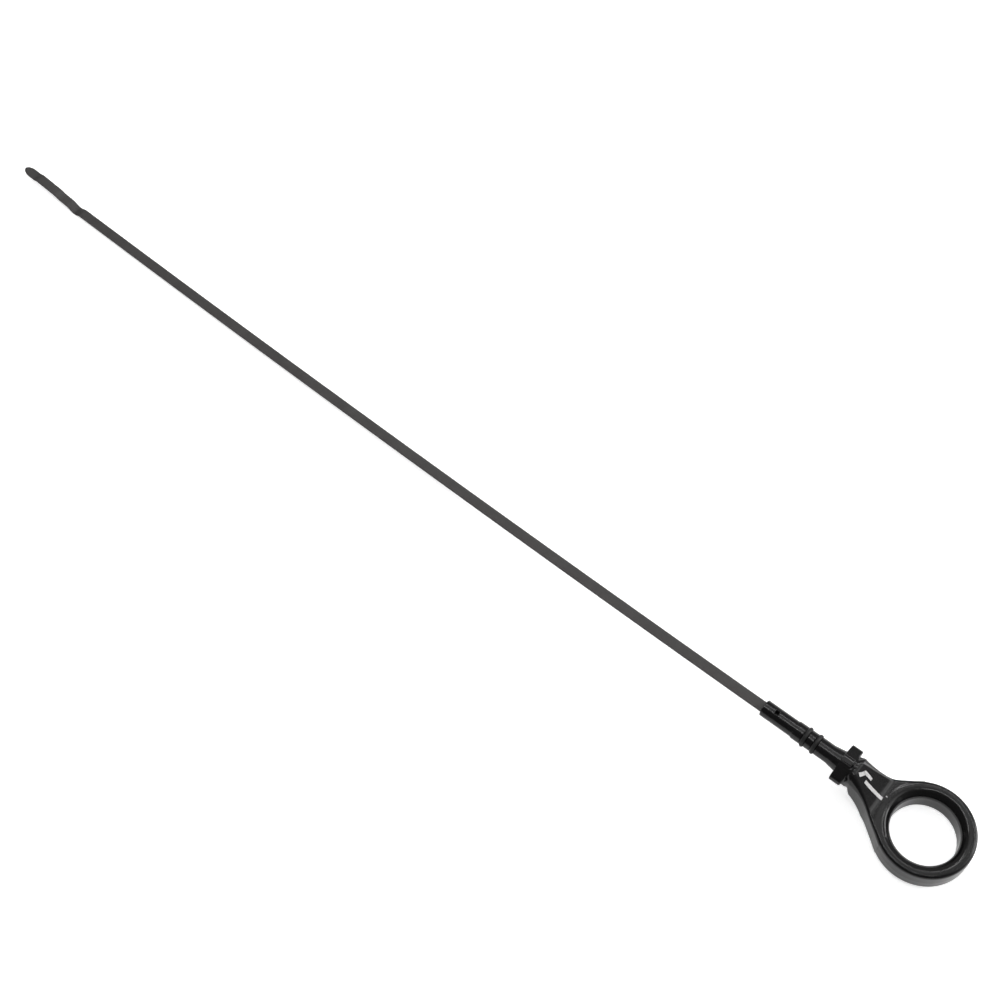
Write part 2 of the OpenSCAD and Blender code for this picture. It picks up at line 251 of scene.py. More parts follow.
# %% Guiding lines of the neck
TOUCH_X, TOUCH_Y = -RING_R * math.sin(FLARE_ANGLE), RING_R * math.cos(FLARE_ANGLE)
FLARE_Y = NECK_W / 2 + FLARE_R
FLARE_CX = TOUCH_X + ((FLARE_Y - TOUCH_Y) * math.cos(FLARE_ANGLE) - FLARE_R) / math.sin(FLARE_ANGLE)
SLOPE_X = COLLAR_BACK_X + NECK_FLAT
FOOT_X = SLOPE_X + (AXIS_RISE + NECK_TOP - RING_TOP) / math.tan(FACE_ANGLE)
HOLLOW_L = FACE_R * math.tan(FACE_ANGLE / 2)
HOLLOW_X = (FOOT_X - HOLLOW_L * math.cos(FACE_ANGLE), FOOT_X + HOLLOW_L)
WEB_X = COLLAR_BACK_X + WEB_GAP


def front_height(x):
    """A short rise, then a straight slope, then an arc of radius FACE_R that touches slope and ring face."""
    rise = NECK_LIFT * np.clip((SLOPE_X - x) / NECK_FLAT, 0, None) ** 2
    slope = AXIS_RISE + NECK_TOP - np.maximum(x - SLOPE_X, 0) * math.tan(FACE_ANGLE) - rise
    run = np.clip(HOLLOW_X[1] - x, 0, HOLLOW_X[1] - HOLLOW_X[0])
    hollow = RING_TOP + FACE_R - np.sqrt(FACE_R ** 2 - run ** 2)
    return np.where(x < HOLLOW_X[0], slope, hollow)


def back_height(x):
    """A straight slope from the round neck's underside to the ring's back, with a half cosine step on it."""
    step = WEB_H * (1 - np.cos(np.pi * np.clip((x - WEB_X) / WEB_L, 0, 1))) / 2
    low = AXIS_RISE - NECK_W / 2
    return low - step - (low - WEB_H + RING_TOP) * np.clip((x - WEB_X) / (-SOLE_END - WEB_X), 0, 1)


def side_gap(x, y):
    """Distance outside the neck's sides: flat, then round an arc of radius FLARE_R, then a straight line."""
    y = np.abs(y)
    arc = FLARE_R - np.hypot(x - FLARE_CX, y - FLARE_Y)
    line = (y - TOUCH_Y) * math.cos(FLARE_ANGLE) - (x - TOUCH_X) * math.sin(FLARE_ANGLE)
    past_arc = (x - FLARE_CX) * math.cos(FLARE_ANGLE) + (y - FLARE_Y) * math.sin(FLARE_ANGLE) > 0
    return np.where(x < FLARE_CX, y - NECK_W / 2, np.where(past_arc, line, arc))


print("slope from", round(SLOPE_X, 1), "and hollow from", np.round(HOLLOW_X, 1))
print("flare touches the ring at", round(TOUCH_X, 1))

# %% [markdown]
# ## The head's own fields
#
# A height above a sloping line is not a distance, so it is divided by the length of the line's normal.
# The crest of the slope is softened by averaging the guiding lines over a millimetre either side first.
# A moulding has no sharp corner, so every edge gets a small rounding and every inner corner a hollow.

# %% Small roundings, hollows and overlaps of the moulding
COLLAR_EDGE, KEY_EDGE, GATE_EDGE = 0.45, 0.4, 0.5
HOLE_EDGE, LIP_EDGE = 1.0, 0.8
RING_HOLLOW, KEY_HOLLOW, COLLAR_HOLLOW, GATE_HOLLOW = 0.4, 0.3, 0.9, 0.2
# How much the ring's wall leans inwards for each millimetre away from its middle plane
DRAFT = 0.02
# The neck runs from this far behind the seat face to this far past the place where the flare touches the
# ring, and is then cut so that it reaches only this far into the collar
END_OVERLAP, COLLAR_OVERLAP = 1, 0.6
print("finger hole's edges rounded with", HOLE_EDGE, "mm and the collar's with", COLLAR_EDGE, "mm")

# %% Guiding lines as tables, a point every twentieth of a millimetre
TABLE_X = np.linspace(-50, 30, 1601)
CREST_HALF = 20
CREST = np.exp(-np.linspace(-2, 2, 2 * CREST_HALF + 1) ** 2)
CREST /= CREST.sum()
FRONT, BACK = [
    np.convolve(np.pad(line(TABLE_X), CREST_HALF, mode="edge"), CREST, mode="valid")
    for line in (front_height, back_height)
]
print("guiding lines have", len(TABLE_X), "points each")


# %% Fields of the neck, the ring and the collar
def height_field(x, z, line, sign):
    """Height over a guiding line, divided by the length of the line's normal."""
    slope = np.interp(x, TABLE_X, np.gradient(line, TABLE_X))
    return sign * (z - np.interp(x, TABLE_X, line)) / np.sqrt(1 + slope ** 2)


def neck_field(x, y, z):
    """The flared outline, cut by the front and back lines with roundings that change along the neck."""
    side = side_gap(x, y)
    fade = np.clip((HOLLOW_X[0] - x) / (HOLLOW_X[0] - COLLAR_BACK_X), 0, 1)
    edge = np.interp(x, [HOLLOW_X[0], TOUCH_X], [FACE_EDGE, RING_EDGE])
    edge = edge + (NECK_ROUND - FACE_EDGE) * fade ** ROUND_FADE
    near = np.clip((x - COLLAR_BACK_X) / (WEB_GAP + WEB_L), 0, 1)
    back_edge = BACK_ROUND + (WEB_EDGE - BACK_ROUND) * near ** 2
    back_edge = np.where(near < 1, back_edge, np.interp(x, [WEB_X + WEB_L, TOUCH_X], [WEB_EDGE, RING_EDGE]))
    body = common(side, height_field(x, z, FRONT, 1), edge)
    body = common(body, height_field(x, z, BACK, -1), back_edge)
    return np.maximum(np.maximum(body, SEAT_X + END_OVERLAP - x), x - TOUCH_X - END_OVERLAP)


def ring_field(x, y, z, neck):
    """A disc with round edges joined to the neck, less the finger hole and its countersink."""
    r = np.hypot(x, y)
    wall = r - RING_R + DRAFT * np.abs(z)
    disc = common(common(wall, z - RING_TOP, RING_EDGE), -RING_TOP - z, RING_EDGE)
    cone = ((z - RING_TOP) * LIP_W - (r - HOLE_R - LIP_W) * LIP_D) / math.hypot(LIP_W, LIP_D)
    hole = common(HOLE_R - r, cone, LIP_EDGE)
    return common(joined(disc, neck, RING_HOLLOW), hole, HOLE_EDGE)


HUB_R = WINGS_H / 2
WING_TIP = WINGS_W / 2 - WING_ROUND
LEAN = math.asin((HUB_R - WING_ROUND) / WING_TIP)


def collar_field(x, y, z):
    """A flange with two round-ended wings, and the key on its front.
    The flange's section is a round hub and two round tips, joined by flats that touch all three."""
    mid = SEAT_X + COLLAR_T / 2
    y_out, z_out = np.abs(y), np.abs(z - AXIS_RISE)
    flat = y_out * math.sin(LEAN) + z_out * math.cos(LEAN) - HUB_R
    along = y_out * math.cos(LEAN) - z_out * math.sin(LEAN)
    hub = np.hypot(y_out, z_out) - HUB_R
    tip = np.hypot(y_out - WING_TIP, z_out) - WING_ROUND
    section = np.where(along < 0, hub, np.where(along > WING_TIP * math.cos(LEAN), tip, flat))
    faces = np.abs(x - mid) - COLLAR_T / 2
    wings = common(section, faces, COLLAR_EDGE)
    crest = np.hypot(y, z - AXIS_RISE - KEY_TOP + KEY_CROWN) - KEY_CROWN
    key = common(common(y_out - KEY_W / 2, crest, KEY_EDGE), faces, KEY_EDGE)
    return joined(wings, np.maximum(key, AXIS_RISE - z), KEY_HOLLOW)


def head_field(x, y, z):
    """Neck, ring, collar and gate mark as one moulding."""
    body = ring_field(x, y, z, neck_field(x, y, z))
    body = np.maximum(body, COLLAR_BACK_X - COLLAR_OVERLAP - x)
    body = joined(body, collar_field(x, y, z), COLLAR_HOLLOW)
    reach = np.hypot(x - COLLAR_BACK_X - GATE_GAP, y - GATE_SIDE)
    mark = common(reach - GATE_D / 2, z - AXIS_RISE - NECK_TOP - GATE_H, GATE_EDGE)
    return joined(body, np.maximum(mark, AXIS_RISE - z), GATE_HOLLOW)


print("from the ring's centre to its wall:", round(float(head_field(0.0, 0.0, 0.0)), 2), "mm")

# %% [markdown]
# ## A skin over the field
#
# The field is sampled on a grid. Each grid cell that the surface passes through gets one point, the mean
# of the places where its edges cross zero, and each grid edge that crosses zero gets a face between the
# four cells around it. A few steps along the field's slope then put every point exactly on the surface,
# and the slope is also the exact normal, which keeps reflections smooth.

# %% Skin a field with four-sided faces
def cells(values, offset):
    """The values at one corner of every cell."""
    return values[tuple(slice(o, n - 1 + o) for o, n in zip(offset, values.shape))]


def skin(field, low, high, step):
    """One point in each cell that the surface crosses, one face round each grid edge that crosses zero."""
    axes = [np.arange(a, b, step) for a, b in zip(low, high)]
    values = field(*np.meshgrid(*axes, indexing="ij"))
    shape = tuple(n - 1 for n in values.shape)
    total, count = np.zeros(shape + (3,)), np.zeros(shape)
    for axis in range(3):
        for corner in range(4):
            start = np.insert([corner & 1, corner >> 1], axis, 0)
            a, b = cells(values, start), cells(values, start + np.eye(3, dtype=int)[axis])
            crossed = (a < 0) != (b < 0)
            share = np.where(crossed, a / np.where(crossed, a - b, 1), 0)
            place = start + share[..., None] * np.eye(3)[axis]
            total += place * crossed[..., None]
            count += crossed
    active = count > 0
    points = (np.argwhere(active) + total[active] / count[active][:, None]) * step + np.array(low)
    number = np.full(shape, -1)
    number[active] = np.arange(len(points))
    quads = []
    for axis in range(3):
        lower = np.delete(values, -1, axis) < 0
        upper = np.delete(values, 0, axis) < 0
        at = np.argwhere(lower != upper)
        u, v = np.eye(3, dtype=int)[(axis + 1) % 3], np.eye(3, dtype=int)[(axis + 2) % 3]
        around = [number[tuple((at - d).T)] for d in (0 * u, u, u + v, v)]
        quad = np.stack(around, -1)
        outward = lower[tuple(at.T)]
        quads.append(np.where(outward[:, None], quad, quad[:, ::-1]))
    return points, np.vstack(quads)


def slope_of(field, points, reach=0.002):
    """The field's slope at each point, from the difference between two places either side of it."""
    sides = np.eye(3) * reach
    return np.stack([field(*(points + s).T) - field(*(points - s).T) for s in sides], -1) / (2 * reach)


def settled(field, points, rounds=5, stride=0.15, least=0.25):
    """Moves each point down or up the slope until it lies on the surface, then gives the normals too.
    A move is the slope times a factor: the field over the slope's square. The square counts as no less
    than the least value, and the factor as no more than the stride either way."""
    for _ in range(rounds):
        slope = slope_of(field, points)
        size = np.maximum((slope ** 2).sum(1), least)
        points = points - slope * np.clip(field(*points.T) / size, -stride, stride)[:, None]
    slope = slope_of(field, points)
    return points, slope / np.linalg.norm(slope, axis=1)[:, None]


STEP = 0.32
HEAD_LOW, HEAD_HIGH = (SEAT_X - 1, -21, -7), (21, 21, AXIS_RISE + 7.2)
head_points, head_quads = skin(head_field, HEAD_LOW, HEAD_HIGH, STEP)
head_points, head_normals = settled(head_field, head_points)
off_surface = np.abs(head_field(*head_points.T)).max()
print("the head has", len(head_quads), "faces, off the surface by", off_surface.round(4))

# %% [markdown]
# ## The shank, turned round its axis
#
# From the sleeve's open end to the collar everything is round, so one profile, carried round the axis,
# makes it: the sleeve, the step, two grooves, the plain land and the cone. A moulding's corners are
# never sharp, so each corner of the profile becomes a small arc.

# %% A profile with round corners
def rounded(profile, radius, steps=4, share=0.45):
    """Replaces each inner corner with an arc: a quadratic curve from one side, past the corner, to the
    other. It starts a radius away from the corner, or that share of a side that is too short for it."""
    points = [profile[0]]
    for before, corner, after in zip(profile[:-2], profile[1:-1], profile[2:]):
        back, ahead = before - corner, after - corner
        room = min(radius, share * np.hypot(*back), share * np.hypot(*ahead))
        start = corner + back / np.hypot(*back) * room
        end = corner + ahead / np.hypot(*ahead) * room
        for t in np.linspace(0, 1, steps):
            points.append(start * (1 - t) ** 2 + corner * 2 * t * (1 - t) + end * t ** 2)
    return np.array(points + [profile[-1]])


def spaced(profile, gap):
    """Adds points so that none lie further apart than the gap, and keeps those that are there."""
    length = np.concatenate([[0], np.cumsum(np.hypot(*np.diff(profile, axis=0).T))])
    even = np.linspace(0, length[-1], int(length[-1] / gap) + 1)
    at = np.union1d(length, even[np.abs(even[:, None] - length).min(1) > gap / 3])
    return np.stack([np.interp(at, length, profile[:, 0]), np.interp(at, length, profile[:, 1])], -1)


def groove_corners(x):
    """The four corners of a groove, on the shank's surface and on the groove's floor."""
    half, floor = (SEAL_T + GROOVE_PLAY) / 2, SEAL_D / 2 - SEAL_T
    return [(x - half, SHANK_D / 2), (x - half, floor), (x + half, floor), (x + half, SHANK_D / 2)]


corners = [(SLEEVE_X, 0), (SLEEVE_X, SLEEVE_D / 2), (SHANK_X, SLEEVE_D / 2), (SHANK_X, SHANK_D / 2)]
corners += groove_corners(SEALS_X[0]) + groove_corners(SEALS_X[1])
corners += [(CONE_X, SHANK_D / 2), (SEAT_X, CONE_D / 2)]
# The shank ends inside the collar, where nothing of it shows
HIDDEN_X = SEAT_X + COLLAR_T / 2
corners += [(HIDDEN_X, CONE_D / 2), (HIDDEN_X, 0)]
CORNER_R, PROFILE_GAP = 0.22, 0.3
profile = spaced(rounded(np.array(corners, float), CORNER_R), PROFILE_GAP)
print("the shank's profile has", len(profile), "points")

# %% Turn the profile and press in the core pin's square hole
AROUND = 96
# Depth of the hole, width of its rounded edge, and the radius inside which nothing is pressed
PRESS_DEPTH, PRESS_EDGE, END_R = 1.9, 0.3, 1
angle = np.linspace(0, 2 * np.pi, AROUND, endpoint=False)
radius = np.repeat(profile[:, 1:], AROUND, axis=1)
along = np.repeat(profile[:, :1], AROUND, axis=1)
off_x = np.abs(along - SLEEVE_X - CORE_HOLE_GAP) - CORE_HOLE / 2
off_y = np.abs(radius * np.sin(angle)) - CORE_HOLE / 2
on_front = (np.cos(angle) > 0) & (radius > END_R)
press = np.clip(0.5 - np.maximum(off_x, off_y) / PRESS_EDGE, 0, 1) * on_front
radius = radius - PRESS_DEPTH * press
shank_rows = np.stack([along, radius * np.sin(angle), AXIS_RISE + radius * np.cos(angle)], -1)
shank_points, shank_quads, shank_tris = closed_tube(shank_rows[:, ::-1])


def corner_normals(points, quads, tris):
    """Each point's normal: the sum of its faces' normals, each as long as the face is large."""
    normals = np.zeros_like(points)
    for faces in (quads, tris):
        a, b, c, d = points[faces[:, 0]], points[faces[:, 1]], points[faces[:, 2]], points[faces[:, -1]]
        face = np.cross(c - a, d - b) if faces.shape[1] == 4 else np.cross(b - a, c - a)
        for corner in faces.T:
            np.add.at(normals, corner, face)
    return normals / np.linalg.norm(normals, axis=1)[:, None]


shank_normals = corner_normals(shank_points, shank_quads, shank_tris)
print("hole pressed into", int((press > 0.5).sum()), "points")

# %% Head and shank as the one moulded piece
count = len(head_points)
handle = mesh_object(
    "handle_moulding",
    np.vstack([head_points, shank_points]),
    np.vstack([head_quads, shank_quads + count]),
    shank_tris + count,
    np.vstack([head_normals, shank_normals]),
)

# %% [markdown]
# ## O-rings
#
# An O-ring is a torus, but a fitted one is stretched over its groove, which presses its inner side a
# little flat and leaves a fine flash line round its outside.

# %% Two rubber O-rings
# Height of the flash line, half of its width in radians, and how deep the inner side is pressed flat
FLASH_H, FLASH_ANGLE, SEAL_FLAT = 0.03, 0.12, 0.02


def o_ring(name, x, around=144, across=32):
    """A circle carried round the shank's axis. Its inner side is pressed flat on the groove's floor.
    The flash line is a bell curve of the angle away from the section's outermost point."""
    turn = np.linspace(0, 2 * np.pi, around, endpoint=False)[:, None]
    tube = np.linspace(0, 2 * np.pi, across, endpoint=False)[None, :]
    flash = FLASH_H * np.exp(-(np.angle(np.exp(1j * tube)) / FLASH_ANGLE) ** 2)
    section = SEAL_T / 2 + flash - FLASH_H
    reach = SEAL_D / 2 - SEAL_T / 2 + section * np.cos(tube)
    reach = np.maximum(reach, SEAL_D / 2 - SEAL_T + SEAL_FLAT)
    points = np.stack(np.broadcast_arrays(
        x + section * np.sin(tube) + 0 * turn,
        reach * np.sin(turn),
        AXIS_RISE + reach * np.cos(turn),
    ), -1)
    number = np.arange(around * across).reshape(around, across)
    after, over = np.roll(number, -1, axis=0), np.roll(number, -1, axis=1)
    both = np.roll(after, -1, axis=1)
    quads = np.stack([number, over, both, after], -1).reshape(-1, 4)
    return mesh_object(name, points.reshape(-1, 3), quads[:, ::-1], np.zeros((0, 3), int))


seals = [o_ring("seal_lower", SEALS_X[0]), o_ring("seal_upper", SEALS_X[1])]

# %% [markdown]
# ## The strip
#
# The strip is one section carried along the middle line: a flat rectangle whose long edges were rounded
# by the rolls. The cranks are pressed with round-nosed tools, so the middle line is averaged over a
# millimetre where it bends. The tip is cut to a half ellipse.

# %% Carry the section along the middle line
def smooth_line(line, gap, reach):
    """Points at even gaps along the line, each averaged with its neighbours by a bell curve of that
    reach. Past both ends the line goes on straight, so that the ends stay where they are."""
    length = np.concatenate([[0], np.cumsum(np.hypot(*np.diff(line, axis=0).T))])
    at = np.arange(0, length[-1] + gap / 2, gap)
    even = np.stack([np.interp(at, length, line[:, 0]), np.interp(at, length, line[:, 1])], -1)
    n = int(3 * reach / gap)
    bell = np.exp(-(np.arange(-n, n + 1) * gap / reach) ** 2)
    bell /= bell.sum()
    first, last = even[1] - even[0], even[-1] - even[-2]
    before = even[0] + first * np.arange(-n, 0)[:, None]
    beyond = even[-1] + last * np.arange(1, n + 1)[:, None]
    padded = np.vstack([before, even, beyond])
    return at, np.stack([np.convolve(padded[:, i], bell, mode="valid") for i in (0, 1)], -1)


LINE_GAP, BEND_REACH = 0.3, 0.8
length, line = smooth_line(MIDDLE, LINE_GAP, BEND_REACH)
# The long bow keeps one point in eight, and the cranks and the last 4 mm before them keep all
SPARSE, FINE_FROM = 8, ROOT_L + STRIP_L - 4
keep = (np.arange(len(line)) % SPARSE == 0) | (length > FINE_FROM)
length, line = length[keep], line[keep]
heading = np.gradient(line, axis=0)
heading /= np.hypot(*heading.T)[:, None]
above = np.stack([heading[:, 1], -heading[:, 0]], -1)
# Just under 1 at the very tip, so that the last section keeps a width
TIP_LIMIT = 0.999
end = np.clip((length - length[-1] + TIP_ROUND) / TIP_ROUND, 0, TIP_LIMIT)
half_w = STRIP_W / 2 * np.sqrt(1 - end ** 2)

# The section is a circle whose sine and cosine are raised to powers under 1, which squares it up
ACROSS = 28
WIDTH_POWER, THICKNESS_POWER = 0.18, 0.55
turn = np.linspace(0, 2 * np.pi, ACROSS, endpoint=False)
side = np.sign(np.cos(turn)) * np.abs(np.cos(turn)) ** WIDTH_POWER
edge = np.sign(np.sin(turn)) * np.abs(np.sin(turn)) ** THICKNESS_POWER
grid = np.zeros((len(line), ACROSS, 3))
grid[..., 1] = half_w[:, None] * side
lift = STRIP_T / 2 * edge[None, :, None] * above[:, None, :]
grid[..., 0] = line[:, None, 0] + lift[..., 0]
grid[..., 2] = line[:, None, 1] + lift[..., 1]
caps = [np.broadcast_to([line[i, 0], 0, line[i, 1]], (1, ACROSS, 3)) for i in (0, -1)]
strip_points, strip_quads, strip_tris = closed_tube(np.concatenate([caps[0], grid, caps[1]]))
strip = mesh_object("gauge_strip", strip_points, strip_quads, strip_tris)

# %% [markdown]
# ## The white print
#
# A pad printer lays a thin skin of white ink on the neck's sloping front. Each stroke is a thin bar that
# follows the surface under it and stands a few hundredths of a millimetre proud. The strokes are plain
# shapes: a hook, a long bar and a drop.

# %% Strokes of ink that follow the slope
# How far the ink stands proud of the surface, and how far each stroke reaches below it
INK, SINK = 0.04, 0.12


def stroke(path, widths, steps=24):
    """A bar across a path of [x, y] points. Its height at every corner is that of the slope beneath it."""
    path, widths = np.array(path, float), np.array(widths, float)
    at = np.linspace(0, len(path) - 1, steps)
    middle = np.stack([np.interp(at, np.arange(len(path)), path[:, i]) for i in (0, 1)], -1)
    half = np.interp(at, np.arange(len(path)), widths)[:, None] / 2
    ahead = np.gradient(middle, axis=0)
    across = np.stack([-ahead[:, 1], ahead[:, 0]], -1) / np.hypot(*ahead.T)[:, None]
    left, right = middle + across * half, middle - across * half
    rows = np.zeros((len(at), 4, 3))
    for i, (place, rise) in enumerate([(left, -SINK), (right, -SINK), (right, INK), (left, INK)]):
        rows[:, i, :2] = place
        rows[:, i, 2] = np.interp(place[:, 0], TABLE_X, FRONT) + rise / math.cos(FACE_ANGLE)
    ends = [rows[i:i + 1].mean(1, keepdims=True).repeat(4, axis=1) for i in (0, len(at) - 1)]
    return closed_tube(np.concatenate([ends[0], rows, ends[1]])[:, ::-1])


STROKES = [
    ([(-31.8, -1.85), (-31.1, -0.65), (-30.4, 0.75)], [1.5, 1.4, 1.3]),
    ([(-30.9, 0.95), (-29.0, 1.1), (-27.2, 1.15)], [1.5, 1.4, 1.3]),
    ([(-28.7, -1.6), (-26.0, -1.5), (-23.0, -1.1), (-20.0, -0.8)], [1.4, 1.5, 1.5, 1.4]),
    ([(-19.5, 1.2), (-18.4, 1.3)], [0.5, 0.2]),
]
parts = [stroke(path, widths) for path, widths in STROKES]
offsets = np.cumsum([0] + [len(points) for points, _, _ in parts[:-1]])
ink = mesh_object(
    "neck_print",
    np.vstack([points for points, _, _ in parts]),
    np.vstack([quads + o for (_, quads, _), o in zip(parts, offsets)]),
    np.vstack([tris + o for (_, _, tris), o in zip(parts, offsets)]),
)
ink.data.shade_flat()

# %% [markdown]
# ## Finishes
#
# Three effects are used by more than one finish, so each is a node group: a mottle that makes a value
# wander between two levels, fine lines drawn along the stick, and sparse specks of dust. They read
# Object coordinates, so the patterns have their real size in metres and stay put on the piece.

# %% A small helper for wiring nodes
def wire(tree, kind, inputs=None, **settings):
    """Adds a node, sets its properties, then sets its sockets or links them to other nodes' sockets."""
    node = tree.nodes.new(kind)
    for name, value in settings.items():
        setattr(node, name, value)
    for name, value in (inputs or {}).items():
        if isinstance(value, bpy.types.NodeSocket):
            tree.links.new(value, node.inputs[name])
        else:
            node.inputs[name].default_value = value
    return node


def maths(tree, operation, *values):
    """A number worked out from one, two or three others, each of them a value or a node's socket."""
    return wire(tree, "ShaderNodeMath", dict(enumerate(values)), operation=operation).outputs[0]


def new_group(name, inputs, outputs):
    """A node group with named sockets. Returns its tree, its input node and its output node."""
    tree = bpy.data.node_groups.new(name, "ShaderNodeTree")
    for label, kind, value in inputs:
        socket = tree.interface.new_socket(label, in_out="INPUT", socket_type=kind)
        if value is not None:
            socket.default_value = value
    for label in outputs:
        tree.interface.new_socket(label, in_out="OUTPUT", socket_type="NodeSocketFloat")
    return tree, tree.nodes.new("NodeGroupInput"), tree.nodes.new("NodeGroupOutput")


# %% The mottle group
FLOAT, VECTOR = "NodeSocketFloat", "NodeSocketVector"
mottle, enter, leave = new_group(
    "mottle",
    [("Place", VECTOR, None), ("Scale", FLOAT, 500.0), ("Low", FLOAT, 0.0), ("High", FLOAT, 1.0)],
    ["Value"],
)
noise = wire(mottle, "ShaderNodeTexNoise", {
    "Vector": enter.outputs["Place"], "Scale": enter.outputs["Scale"], "Detail": 5.0,
})
spread = wire(mottle, "ShaderNodeMapRange", {
    "Value": noise.outputs["Fac"], "From Min": 0.3, "From Max": 0.7,
    "To Min": enter.outputs["Low"], "To Max": enter.outputs["High"],
})
mottle.links.new(spread.outputs["Result"], leave.inputs["Value"])
print("group:", mottle.name)

# %% The drawn lines group
drawn, enter, leave = new_group(
    "drawn_lines", [("Place", VECTOR, None), ("Spacing", FLOAT, 9000.0)], ["Lines"]
)
stretch = wire(drawn, "ShaderNodeMapping", {"Vector": enter.outputs["Place"], "Scale": (0.012, 1.0, 1.0)})
noise = wire(drawn, "ShaderNodeTexNoise", {
    "Vector": stretch.outputs["Vector"], "Scale": enter.outputs["Spacing"], "Detail": 3.0,
})
spread = wire(drawn, "ShaderNodeMapRange", {
    "Value": noise.outputs["Fac"], "From Min": 0.35, "From Max": 0.65,
})
drawn.links.new(spread.outputs["Result"], leave.inputs["Lines"])
print("group:", drawn.name)

# %% The dust group
# One cell in eight or so holds a speck
SPECK_SHARE = 0.12
dust, enter, leave = new_group(
    "dust_specks", [("Place", VECTOR, None), ("Scale", FLOAT, 900.0), ("Size", FLOAT, 0.1)], ["Mask"]
)
spots = wire(dust, "ShaderNodeTexVoronoi", {
    "Vector": enter.outputs["Place"], "Scale": enter.outputs["Scale"],
})
near = maths(dust, "LESS_THAN", spots.outputs["Distance"], enter.outputs["Size"])
pick = wire(dust, "ShaderNodeSeparateColor", {"Color": spots.outputs["Color"]})
few = maths(dust, "LESS_THAN", pick.outputs["Red"], SPECK_SHARE)
both = maths(dust, "MULTIPLY", near, few)
dust.links.new(both, leave.inputs["Mask"])
print("group:", dust.name)

# %% [markdown]
# ## Black plastic, rubber, blackened steel and ink
#
# Each finish keeps its own shader and takes its variation from the groups. The plastic is glossy nylon:
# nearly black, with a faint flow mottle in its gloss and a very fine orange-peel in its surface. The
# rubber is duller. The strip is spring steel with a dark oxide: satin, with lines drawn along it, patches
# where the oxide is thinner, and edges worn a little paler.

# %% Start a material
def new_finish(name, roughness, **sockets):
    """A material with its shader and the Object coordinates that its patterns read."""
    material = bpy.data.materials.new(name)
    material.use_nodes = True
    tree = material.node_tree
    shader = tree.nodes["Principled BSDF"]
    shader.inputs["Roughness"].default_value = roughness
    for label, value in sockets.items():
        shader.inputs[label.replace("_", " ")].default_value = value
    place = wire(tree, "ShaderNodeTexCoord").outputs["Object"]
    return material, tree, shader, place


def group(tree, kind, **inputs):
    """Places a node group and sets or links its inputs."""
    return wire(tree, "ShaderNodeGroup", inputs, node_tree=kind).outputs[0]


def tinted(tree, mask, dark, light):
    """A colour that goes from dark to light with a mask."""
    mix = wire(tree, "ShaderNodeMix", {"Factor": mask, "A": dark, "B": light}, data_type="RGBA")
    return mix.outputs["Result"]


def bump(tree, height, strength, distance):
    """A bump whose height is a mask times a distance in metres."""
    node = wire(tree, "ShaderNodeBump", {"Height": height, "Strength": strength, "Distance": distance})
    return node.outputs["Normal"]


# %% Black plastic
plastic, tree, shader, place = new_finish("black_plastic", 0.18, IOR=1.5)
flow = group(tree, mottle, Place=place, Scale=120.0, Low=0.15, High=0.19)
tree.links.new(flow, shader.inputs["Roughness"])
specks = group(tree, dust, Place=place, Scale=700.0, Size=0.09)
colour = tinted(tree, specks, (0.0055, 0.0052, 0.0055, 1), (0.05, 0.05, 0.05, 1))
tree.links.new(colour, shader.inputs["Base Color"])
peel = group(tree, mottle, Place=place, Scale=900.0, Low=0.0, High=1.0)
tree.links.new(bump(tree, peel, 0.02, 0.00003), shader.inputs["Normal"])
print("finish:", plastic.name)

# %% Nitrile rubber
rubber, tree, shader, place = new_finish("nitrile_rubber", 0.55, IOR=1.5)
dull = group(tree, mottle, Place=place, Scale=900.0, Low=0.45, High=0.62)
tree.links.new(dull, shader.inputs["Roughness"])
specks = group(tree, dust, Place=place, Scale=1500.0, Size=0.12)
colour = tinted(tree, specks, (0.016, 0.016, 0.016, 1), (0.07, 0.07, 0.065, 1))
tree.links.new(colour, shader.inputs["Base Color"])
grain = group(tree, mottle, Place=place, Scale=3000.0, Low=0.0, High=1.0)
tree.links.new(bump(tree, grain, 0.2, 0.00003), shader.inputs["Normal"])
print("finish:", rubber.name)

# %% Blackened spring steel
steel, tree, shader, place = new_finish("blackened_steel", 0.5, Metallic=0.35)
lines = group(tree, drawn, Place=place, Spacing=7000.0)
patches = group(tree, mottle, Place=place, Scale=120.0, Low=0.0, High=1.0)
both = maths(tree, "MULTIPLY", lines, patches)
oxide = tinted(tree, both, (0.068, 0.064, 0.063, 1), (0.098, 0.094, 0.092, 1))
apart = wire(tree, "ShaderNodeSeparateXYZ", {"Vector": place})
reach = maths(tree, "ABSOLUTE", apart.outputs["Y"])
# The wear grows from a quarter of a millimetre inside the strip's edge to the edge itself
EDGE_FROM, EDGE_TO = 0.00225, 0.0025
rim = wire(tree, "ShaderNodeMapRange", {"Value": reach, "From Min": EDGE_FROM, "From Max": EDGE_TO})
rubbed = group(tree, mottle, Place=place, Scale=700.0, Low=0.1, High=0.8)
wear = maths(tree, "MULTIPLY", rim.outputs["Result"], rubbed)
worn = tinted(tree, wear, oxide, (0.19, 0.18, 0.175, 1))
tree.links.new(worn, shader.inputs["Base Color"])
satin = wire(tree, "ShaderNodeMapRange", {"Value": lines, "To Min": 0.42, "To Max": 0.6}).outputs["Result"]
tree.links.new(satin, shader.inputs["Roughness"])
tree.links.new(bump(tree, lines, 0.15, 0.00002), shader.inputs["Normal"])
print("finish:", steel.name)

